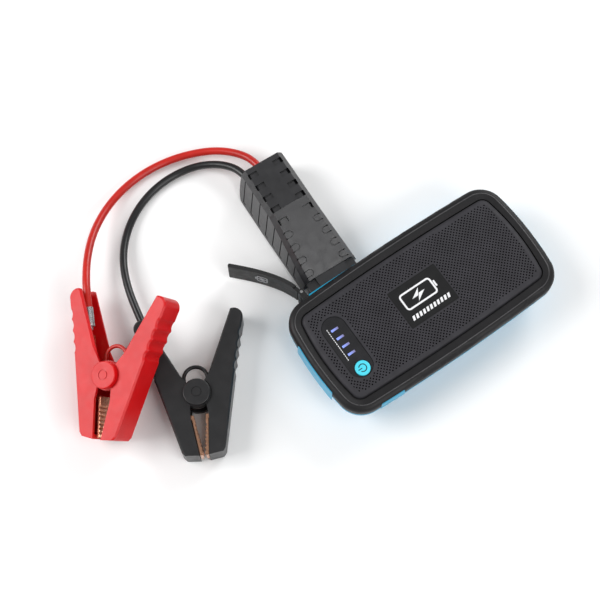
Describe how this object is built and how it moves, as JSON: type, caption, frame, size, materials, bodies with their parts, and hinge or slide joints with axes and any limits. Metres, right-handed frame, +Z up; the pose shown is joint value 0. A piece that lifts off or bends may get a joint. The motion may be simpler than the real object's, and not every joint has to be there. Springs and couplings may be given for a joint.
{
  "type": "jump starter pack",
  "caption": "Flat car jump starter battery pack with a perforated top pad, a plug-in lead module on two cables, spring battery clamps and an open rubber port cover.",
  "frame": {"origin": "centre of the pack's flat underside", "axes": "+X along the pack, +Y out of the port side where the lead plugs in, +Z up"},
  "size_m": [0.298, 0.2219, 0.0529],
  "materials": {
    "blue_plastic": "satin moulded",
    "rim_plastic": "soft-touch",
    "pad_rubber": "perforated, matte",
    "label_film": "satin film",
    "panel_gloss": "gloss",
    "led_diffuser": "translucent",
    "button_cyan": "satin",
    "steel": "nickel plated",
    "circuit_board": "solder mask",
    "chip_black": "moulded",
    "socket_blue": "moulded nylon",
    "brass_contact": "gold plated",
    "cable_red": "silicone",
    "cable_black": "silicone",
    "foam": "closed-cell foam",
    "clear_lens": "clear",
    "rubber_black": "matte",
    "module_plastic": "satin moulded",
    "cell_pouch": "laminated foil",
    "copper": "copper plated",
    "clamp_red": "semi-gloss moulded",
    "clamp_black": "semi-gloss moulded"
  },
  "bodies": {
    "pack": {"bottom_shell": "blue_plastic", "top_cover": "rim_plastic", "perforated_pad": "pad_rubber", "label_plate": "label_film", "indicator_panel": "panel_gloss", "led_windows": "led_diffuser", "button_switch": "steel", "status_leds": "led_diffuser", "main_board": "circuit_board", "board_components": "chip_black", "usb_board": "circuit_board", "usb_output_port": "steel", "usb_input_port": "steel", "ec5_socket": "socket_blue", "socket_pins": "brass_contact", "positive_lead": "cable_red", "negative_lead": "cable_black", "cell_foam": "foam", "cell_tabs": "steel", "case_screws": "steel", "torch_lens": "clear_lens", "torch_led": "led_diffuser", "cover_pin": "steel", "cover_anchor": "rubber_black", "battery_cell_1": "cell_pouch", "battery_cell_2": "cell_pouch", "battery_cell_3": "cell_pouch"},
    "button": {"power_button": "button_cyan"},
    "cover": {"port_cover": "rubber_black"},
    "lead": {"module_body": "module_plastic", "module_lid": "module_plastic", "ec5_plug": "module_plastic", "plug_sleeves": "brass_contact", "module_board": "circuit_board", "module_components": "chip_black", "module_relay": "chip_black", "module_screws": "steel", "red_grommet": "rubber_black", "black_grommet": "rubber_black", "red_cable": "cable_red", "black_cable": "cable_black", "red_fixed_arm": "clamp_red", "red_fixed_jaw": "copper", "red_pivot_pin": "steel", "red_pivot_cap": "clamp_red", "red_spring": "steel", "red_bridge_wire": "cable_red", "red_cable_crimp": "steel", "black_fixed_arm": "clamp_black", "black_fixed_jaw": "copper", "black_pivot_pin": "steel", "black_pivot_cap": "clamp_black", "black_spring": "steel", "black_bridge_wire": "cable_black", "black_cable_crimp": "steel"},
    "red_arm": {"red_moving_arm": "clamp_red", "red_moving_jaw": "copper"},
    "black_arm": {"black_moving_arm": "clamp_black", "black_moving_jaw": "copper"}
  },
  "joints": [
    {"name": "plug_slide", "type": "slide", "parent": "pack", "child": "lead", "axis": [0, 1, 0], "range_m": [0, 0.026]},
    {"name": "button_press", "type": "slide", "parent": "pack", "child": "button", "axis": [0, 0, -1], "range_m": [0, 0.0007], "stiffness_N_per_m": 1200, "springref_m": -0.0004},
    {"name": "cover_hinge", "type": "hinge", "parent": "pack", "child": "cover", "pos_m": [-0.0576, 0.047, 0.013], "axis": [0, 0, 1], "range_deg": [-25, 25]},
    {"name": "red_clamp_hinge", "type": "hinge", "parent": "lead", "child": "red_arm", "pos_m": [-0.1816, 0.0672, 0.022], "axis": [-0.4154, 0.1018, 0.9039], "range_deg": [0, 28], "stiffness_Nm_per_rad": 1.2, "springref_deg": -28.65},
    {"name": "black_clamp_hinge", "type": "hinge", "parent": "lead", "child": "black_arm", "pos_m": [-0.1456, 0.0311, 0.0095], "axis": [0, 0, 1], "range_deg": [0, 28], "stiffness_Nm_per_rad": 1.2, "springref_deg": -28.65}
  ]
}
